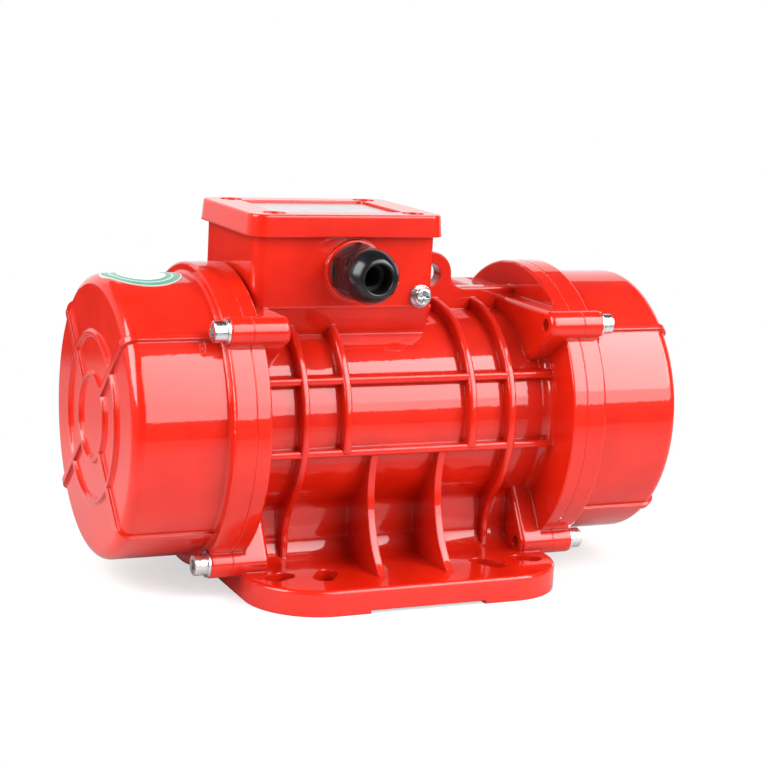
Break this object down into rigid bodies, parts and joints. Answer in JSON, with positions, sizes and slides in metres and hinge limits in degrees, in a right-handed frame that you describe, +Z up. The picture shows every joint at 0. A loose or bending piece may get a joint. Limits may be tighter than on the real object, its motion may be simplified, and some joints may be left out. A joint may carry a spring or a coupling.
{
  "type": "vibration motor",
  "caption": "Foot-mounted electric vibration motor with a ribbed cast housing, adjustable eccentric weights under a round cover at each end, a terminal box and a cable gland.",
  "frame": {"origin": "middle of the foot's underside, on the face it is bolted down by", "axes": "+X along the shaft to the end away from the terminal box, -Y is the side of the cable gland, +Z up"},
  "size_m": [0.2826, 0.1668, 0.1786],
  "materials": {
    "red_enamel": "glossy baked enamel over die-cast aluminium",
    "black_rubber": "matt rubber",
    "zinc_steel": "bright zinc plate",
    "black_steel": "black oxide",
    "bare_aluminium": "as cast and machined",
    "bearing_steel": "ground and polished",
    "cage_steel": "pressed sheet",
    "core_laminations": "stacked electrical sheet",
    "copper_winding": "varnished enamelled wire",
    "ground_steel": "ground",
    "spring_steel": "phosphated",
    "weight_iron": "machined iron",
    "plate_aluminium": "satin silver sheet, bare",
    "block_plastic": "moulded",
    "brass": "turned",
    "black_nylon": "moulded nylon, slight sheen",
    "printed_label": "printed film, plain rings"
  },
  "bodies": {
    "motor": {"motor_housing": "red_enamel", "weight_cover_left": "red_enamel", "weight_cover_right": "red_enamel", "cover_seals": "black_rubber", "cover_screws": "zinc_steel", "cover_washers": "zinc_steel", "bearing_shield_left": "bare_aluminium", "bearing_shield_right": "bare_aluminium", "shield_screws": "zinc_steel", "bearing_outer_rings": "bearing_steel", "stator_core": "core_laminations", "stator_windings": "copper_winding", "terminal_lid": "red_enamel", "lid_gasket": "black_rubber", "lid_screws": "zinc_steel", "nameplate": "plate_aluminium", "terminal_block": "block_plastic", "terminal_block_screws": "zinc_steel", "terminal_studs": "brass", "terminal_nuts": "brass", "gland_body": "black_nylon", "gland_seal": "black_rubber", "gland_insert": "black_rubber", "gland_cap": "black_nylon", "gland_locknut": "black_nylon", "earth_washer": "zinc_steel", "earth_screw": "zinc_steel", "round_label": "printed_label"},
    "rotor": {"shaft": "ground_steel", "rotor_core": "core_laminations", "rotor_cage": "bare_aluminium", "bearing_inner_rings": "bearing_steel", "shaft_sleeves": "ground_steel", "weight_keys": "ground_steel", "fixed_weight_left": "weight_iron", "fixed_weight_right": "weight_iron", "weight_set_screws": "black_steel", "weight_spacers": "ground_steel", "shaft_circlips": "spring_steel"},
    "adjustable_left": {"adjustable_weight_left": "weight_iron", "clamp_screw_left": "black_steel"},
    "adjustable_right": {"adjustable_weight_right": "weight_iron", "clamp_screw_right": "black_steel"},
    "ball_set_left": {"bearing_balls_left": "bearing_steel", "bearing_cage_left": "cage_steel"},
    "ball_set_right": {"bearing_balls_right": "bearing_steel", "bearing_cage_right": "cage_steel"}
  },
  "joints": [
    {"name": "rotor_spin", "type": "hinge", "parent": "motor", "child": "rotor", "pos_m": [0, 0, 0.079], "axis": [1, 0, 0], "continuous": true},
    {"name": "ball_turn_left", "type": "hinge", "parent": "motor", "child": "ball_set_left", "pos_m": [-0.076, 0, 0.079], "axis": [1, 0, 0], "continuous": true},
    {"name": "ball_turn_right", "type": "hinge", "parent": "motor", "child": "ball_set_right", "pos_m": [0.076, 0, 0.079], "axis": [1, 0, 0], "continuous": true},
    {"name": "weight_setting_left", "type": "hinge", "parent": "rotor", "child": "adjustable_left", "pos_m": [-0.121, 0, 0.079], "axis": [1, 0, 0], "range_deg": [0, 180]},
    {"name": "weight_setting_right", "type": "hinge", "parent": "rotor", "child": "adjustable_right", "pos_m": [0.121, 0, 0.079], "axis": [1, 0, 0], "range_deg": [0, 180]}
  ],
  "couplings": [
    {"joint": "ball_turn_left", "follows": "rotor_spin", "ratio": 0.3531},
    {"joint": "ball_turn_right", "follows": "rotor_spin", "ratio": 0.3531}
  ]
}
